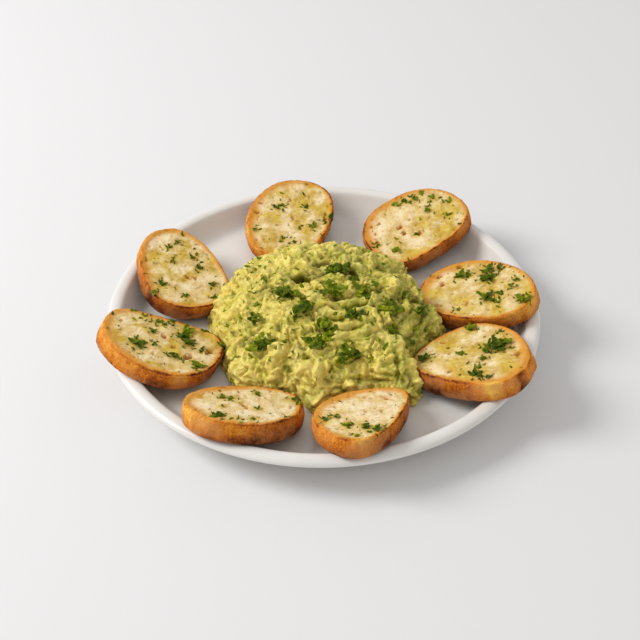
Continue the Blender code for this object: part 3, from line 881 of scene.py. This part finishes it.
def clear_of(tree, world, wanted):
    """0 where a point touches the tree to 1 where it is far enough off, for the points that are wanted."""
    clear = np.ones(len(world))
    for index in np.flatnonzero(wanted):
        place, normal, face, distance = tree.find_nearest(Vector(world[index]), NEAR_TOAST)
        if place is not None:
            clear[index] = distance / NEAR_TOAST
    return clear


def spill(moved, local):
    """The mash runs out over the floor between the two front slices."""
    x, y = local[:, 0] / MM, local[:, 1] / MM
    run = np.exp(-((x - SPILL_X) / SPILL_HALF_WIDTH) ** 2) * (1 - ramp(y, SPILL_Y - 6, SPILL_Y + 8))
    low = 1 - 0.6 * ramp(local[:, 2], FLOOR_TOP + 4 * MM, FLOOR_TOP + 14 * MM)
    moved[:, 1] -= run * SPILL_REACH * MM * low


def make_guacamole(toast_tree):
    mesh = fine_mesh("guacamole", GUACAMOLE_VOXEL, HEAP_SMOOTHING)
    world = vertex_array(mesh)
    facing = triples(mesh.vertex_normals, "vector")
    local = world - np.array(AXIS)
    x, y = local[:, 0] / MM, local[:, 1] / MM

    bend = bent(local, 9 * MM, 31) + 0.4 * bent(local, 3.5 * MM, 41)
    place = local + bend * FOLD_BEND
    strokes, spread = spoon_strokes(local, bend)
    lumps, crumbs = mash_lumps(local, place, spread)
    ragged = layered(local, HOLLOW_RAGGED)
    depth = np.zeros(len(x))
    for hole in HOLLOWS:
        depth = np.maximum(depth, inside(hole, x, y, ragged) * hole.depth)
    rise = layered(local, SWELL) + lumps + crumbs + strokes - depth

    upper = ramp(facing[:, 2], -0.5, 0.1)
    above = ramp(local[:, 2], FLOOR_TOP + 0.3 * MM, FLOOR_TOP + 3.0 * MM)
    free = upper * (0.25 + 0.75 * above) * clear_of(toast_tree, world, upper > 0)
    moved = world + facing * (rise * MM * free)[:, None]
    spill(moved, local)
    set_vertices(mesh, moved)

    # Painted shade and highlight: low is how far a point lies below the relief around it. It darkens the
    # creases, hollows and ridge valleys and lightens the raised lumps.
    low = -(crumbs + 0.8 * lumps + 0.9 * strokes) + 0.8 * depth
    # The painted shade deepens towards the right, the side turned from the key light, and lessens towards the
    # front.
    low = low + 0.9 * ramp(x, 10, 60) - 0.6 * ramp(-y, 25, 60)
    nearest, second, number = strewn(place + bend * CHUNK_BEND, CHUNK_SIZE * MM, CHUNK_SEED)
    # The patches vary at random; the 0.008 * x term adds painted shade, greener and darker towards the right,
    # the side turned from the key light.
    green = 0.9 * ramp(layered(local, GREEN_PATCHES) + 0.008 * x, 0.0, 0.8)
    # These attributes hold painted shade for the creases and the deep hollow, and a painted highlight for the
    # raised lumps.
    set_attributes(mesh, deep=ramp(low, 0.0, 2.6) * upper, pit=ramp(depth, 4.0, 9.0) * upper,
                   high=ramp(-low, 0.4, 2.2) * upper, chunk=number, green=green)
    mesh = modified(mesh, {"DECIMATE": {"ratio": HEAP_KEPT}})
    return new_piece("mashed_avocado", mesh, guacamole_material(), "guacamole", "guacamole")


# ======== the herbs

def blade(rng, length, width, long_steps, cross_steps):
    """A thin closed bit of leaf, flat side up, its middle at the origin.

    Points, faces, and how near each point is to its edge, from 0 to 1.
    """
    curl = rng.uniform(-0.8, 1.8)
    fold = rng.uniform(-0.2, 0.8)
    tilt = rng.uniform(-0.05, 0.5)
    teeth = rng.integers(2, 4)
    phase = rng.uniform(0, math.tau)
    lean = rng.uniform(-0.5, 0.5) * max(width, 0.5 * length)
    along = np.linspace(0, 1, long_steps + 1)[:, None]
    across = np.linspace(-1, 1, cross_steps + 1)[None, :]
    half = width / 2 * (0.25 + 0.75 * np.sin(math.pi * np.clip(along, 0.02, 0.98) ** 0.75) ** 0.55)
    half = half * (1 + 0.12 * np.cos(math.tau * teeth * along + phase + across))
    x = (along - 0.5) * length + 0.06 * width * np.cos(across * 5 + phase) * np.abs(across)
    y = half * across + lean * ((along - 0.5) ** 2 * 2 - 0.25)
    z = fold * np.abs(y) + curl * length * 0.35 * (along - 0.5) ** 2 * 2 + tilt * length * along * 0.5
    z = z + 0.03 * length * np.cos(along * 9 + across * 2 + phase)
    upper = np.stack(np.broadcast_arrays(x, y, z), axis=2).reshape(-1, 3)
    rise = (0, 0, LEAF_THICKNESS / 2)
    points = np.concatenate([upper + rise, upper - rise])
    count = len(upper)
    grid = np.arange(count).reshape(long_steps + 1, cross_steps + 1)
    faces = []
    corners = (grid[:-1, :-1], grid[1:, :-1], grid[1:, 1:], grid[:-1, 1:])
    for quad in zip(*(corner.ravel().tolist() for corner in corners)):
        faces += [quad, tuple(point + count for point in quad[::-1])]
    border = np.concatenate((grid[0, :-1], grid[:-1, -1], grid[-1, :0:-1], grid[:0:-1, 0])).tolist()
    for first, second in zip(border, border[1:] + border[:1]):
        faces.append((first, second, second + count, first + count))
    edge = np.tile(np.broadcast_to(np.abs(across), grid.shape).ravel(), 2)
    return points, faces, edge


class Sprinkle:
    """Many small closed meshes joined into one piece, each with a tone of its own."""

    def __init__(self):
        self.points, self.faces, self.tones = [], [], []
        self.count = 0

    def add(self, points, faces, tone):
        self.points.append(points)
        self.faces += [tuple(corner + self.count for corner in face) for face in faces]
        self.tones.append(tone)
        self.count += len(points)

    def piece(self, name, surface):
        mesh = bpy.data.meshes.new(name)
        mesh.from_pydata(np.concatenate(self.points).tolist(), [], self.faces)
        set_attributes(mesh, tone=np.concatenate(self.tones))
        return new_piece(name, mesh, surface, "herb")


def turned(points, degrees, shift=(0.0, 0.0, 0.0)):
    """Points shifted, then turned about Z."""
    cos, sin = math.cos(math.radians(degrees)), math.sin(math.radians(degrees))
    return (points + shift) @ np.array(((cos, sin, 0), (-sin, cos, 0), (0, 0, 1)))


def cluster(rng, size, slim):
    """The blades of one bit of chopped parsley: a strip, a flake, or leaflets spread from one point."""
    start = rng.uniform(0, 360)
    if size < 4.5:
        length = size * MM * rng.uniform(0.8, 1.2)
        width = length * (rng.uniform(0.16, 0.34) if rng.random() < 0.5 else rng.uniform(0.45, 0.8) * slim)
        points, faces, edge = blade(rng, length, width, 6, 2)
        yield turned(points, start), faces, edge
        return
    leaves = 2 if size < 8 else 4
    for leaf in range(leaves):
        length = size * MM * rng.uniform(0.50, 0.75)
        width = length * rng.uniform(0.45, 0.8) * slim
        points, faces, edge = blade(rng, length, width, 7, 4)
        fan = start + (leaf - (leaves - 1) / 2) * rng.uniform(50, 85)
        yield turned(points, fan, (length * 0.40, 0, 0.15 * MM * leaf)), faces, edge
    for crumb in range(leaves + (2 if slim < 1 else 0)):
        length = rng.uniform(1.2, 3.2) * MM
        points, faces, edge = blade(rng, length, length * rng.uniform(0.2, 0.5), 4, 2)
        points = turned(points, rng.uniform(0, 360))
        yield turned(points, rng.uniform(0, 360), (size * MM * rng.uniform(0.4, 0.8), 0, 0)), faces, edge


def lay(points, spot, axes, tree, laying):
    """Points that lie flat put on to a surface at a spot, or None where too many of them miss it."""
    turn = np.array(axes)
    base = np.array(spot)
    down = -Vector(axes[2])
    start = 0.03

    def at(x, y, height):
        return base + turn[0] * x + turn[1] * y + turn[2] * height

    def depth_under(x, y):
        place, normal, face, distance = tree.ray_cast(Vector(at(x, y, start)), down)
        return None if place is None else start - distance

    centre = depth_under(0.0, 0.0)
    if centre is None:
        return None
    laid, missed = [], 0
    for x, y, z in points:
        here = depth_under(x, y)
        if here is None or abs(here - centre) > LEAF_DROP:
            here = centre - 1 * MM
            missed += 1
        height = centre * (1 - laying.settle) + here * laying.settle
        laid.append(at(x, y, height + z + laying.lift))
    return np.array(laid) if missed < OVERHANG * len(points) else None


def lay_cluster(rng, sprinkle, size, spot, axes, tree, laying):
    """One bit of parsley of a size in mm, laid at a spot."""
    tone = float(np.clip(rng.normal(laying.tone, laying.spread), 0, 1))
    for points, faces, edge in cluster(rng, size, laying.slim):
        laid = lay(points, spot, axes, tree, laying)
        if laid is not None:
            # The leaf's tone, lightened at its edges as a painted highlight.
            sprinkle.add(laid, faces, tone + rng.uniform(*laying.own_tone) + LEAF_EDGE_PAINTED_HIGHLIGHT * (edge - 0.5))


def make_toast_herbs(slices, surface):
    """The chopped parsley on the slices."""
    rng = np.random.default_rng(7)
    sprinkle = Sprinkle()
    for name in SLICES:
        middle, *axes = face_frame(name)
        local = (vertex_array(slices[name].data) - np.array(middle)) @ np.array(axes).T
        tree = tree_of(slices[name].data)
        bits = list(LOOKS[name].herbs)
        for _ in range(STRAY_HERBS):
            angle, share = rng.uniform(-180, 180), rng.uniform(0.1, 0.92)
            reach = edge_radius(local, np.array([angle]))[0] / MM * math.sqrt(share)
            x, y = reach * math.cos(math.radians(angle)), reach * math.sin(math.radians(angle))
            bits.append((x, y, rng.uniform(*STRAY_SIZE)))
        for x, y, size in bits:
            spot = middle + axes[0] * x * MM + axes[1] * y * MM
            lay_cluster(rng, sprinkle, size * TOAST_HERB_GROWTH, spot, axes, tree, ON_TOAST)
    return sprinkle.piece("parsley_on_toast", surface)


def add_flecks(rng, sprinkle, tree, toast_tree):
    """Small green bits that lie on the mash at all its slopes, but not under a slice."""
    down = Vector((0, 0, -1))
    placed = 0
    while placed < FLECKS:
        x, y = rng.uniform(-FLECK_REACH, FLECK_REACH, 2)
        start = Vector((AXIS.x + x * MM, AXIS.y + y * MM, 0.08))
        place, normal, face, distance = tree.ray_cast(start, down)
        toast = toast_tree.ray_cast(start, down)
        if place is None or normal.z < 0.2 or (toast[0] is not None and toast[3] < distance):
            continue
        placed += 1
        length = rng.uniform(1.6, 4.4) * MM
        points, faces, edge = blade(rng, length, length * rng.uniform(0.2, 0.6), 4, 2)
        lean = Matrix.Rotation(rng.uniform(-0.5, 0.5), 3, "Y")
        lean = lean @ Matrix.Rotation(rng.uniform(0, math.tau), 3, "Z")
        turn = normal.to_track_quat("Z", "Y").to_matrix() @ lean
        laid = points @ np.array(turn).T + np.array(place + normal * 0.05 * MM)
        sprinkle.add(laid, faces, np.full(len(laid), rng.uniform(*FLECK_TONES)))


def make_guacamole_herbs(heap, toast_tree, surface):
    """The leaves on the guacamole, and the small green bits all over it."""
    rng = np.random.default_rng(11)
    tree = tree_of(heap.data)
    axes = (Vector((1, 0, 0)), Vector((0, 1, 0)), Vector((0, 0, 1)))
    base = Vector((AXIS.x, AXIS.y, FLOOR_TOP + 25 * MM))
    leaves = Sprinkle()
    for x, y, size in LEAVES:
        lay_cluster(rng, leaves, size, base + Vector((x * MM, y * MM, 0)), axes, tree, ON_HEAP)
    add_flecks(rng, leaves, tree, toast_tree)
    return leaves.piece("parsley_on_guacamole", surface)


# ======== camera, light and table

def aimed(away, distance, target):
    """Where something stands that looks at a target from this direction and distance."""
    look = (-away).to_track_quat("-Z", "Y").to_matrix().to_4x4()
    return Matrix.Translation(target + away * distance) @ look


def make_camera():
    elevation = math.radians(CAMERA_ELEVATION)
    back = Vector((0.0, -math.cos(elevation), math.sin(elevation)))
    camera = linked("camera", bpy.data.cameras.new("camera"))
    camera.data.sensor_width = 36.0
    camera.data.lens = CAMERA_LENS
    camera.data.clip_start = 0.05
    camera.data.clip_end = 20.0
    roll = Matrix.Rotation(math.radians(CAMERA_ROLL), 4, "Z")
    camera.matrix_world = aimed(back, CAMERA_DISTANCE, AXIS + AIM) @ roll
    bpy.context.scene.camera = camera


def make_key():
    key = bpy.data.lights.new("key", "AREA")
    key.shape = "DISK"
    key.size = KEY_SIZE
    key.energy = KEY_POWER
    key.color = KEY_COLOUR
    lamp = linked("key", key)
    around, elevation = math.radians(KEY_AROUND), math.radians(KEY_ELEVATION)
    flat = math.cos(elevation)
    away = Vector((math.cos(around) * flat, math.sin(around) * flat, math.sin(elevation)))
    lamp.matrix_world = aimed(away, KEY_DISTANCE, AXIS)


def make_room():
    room = bpy.data.worlds.new("room")
    room.use_nodes = True
    sky = room.node_tree.nodes["Background"]
    sky.inputs["Color"].default_value = ROOM_COLOUR
    sky.inputs["Strength"].default_value = ROOM_STRENGTH
    bpy.context.scene.world = room
    bpy.context.scene.view_settings.view_transform = "Standard"


def make_table():
    mesh = bpy.data.meshes.new("table")
    corners = [(-1, -1), (1, -1), (1, 1), (-1, 1)]
    mesh.from_pydata([(x * TABLE_HALF, y * TABLE_HALF, 0) for x, y in corners], [], [(0, 1, 2, 3)])
    table = linked("table", mesh)
    top = Surface("table_top")
    top.shade({"Base Color": srgb(*TABLE_COLOUR), "Roughness": 0.7, "Specular IOR Level": 0.1})
    mesh.materials.append(top.material)


# ======== the whole

make_camera()
make_key()
make_room()
make_table()
make_plate()
bread = toast_material()
slices = {name: make_toast(name, bread) for name in SLICES}
toast_tree = tree_of(*(piece.data for piece in slices.values()))
heap = make_guacamole(toast_tree)
parsley = herb_material()
make_toast_herbs(slices, parsley)
make_guacamole_herbs(heap, toast_tree, parsley)
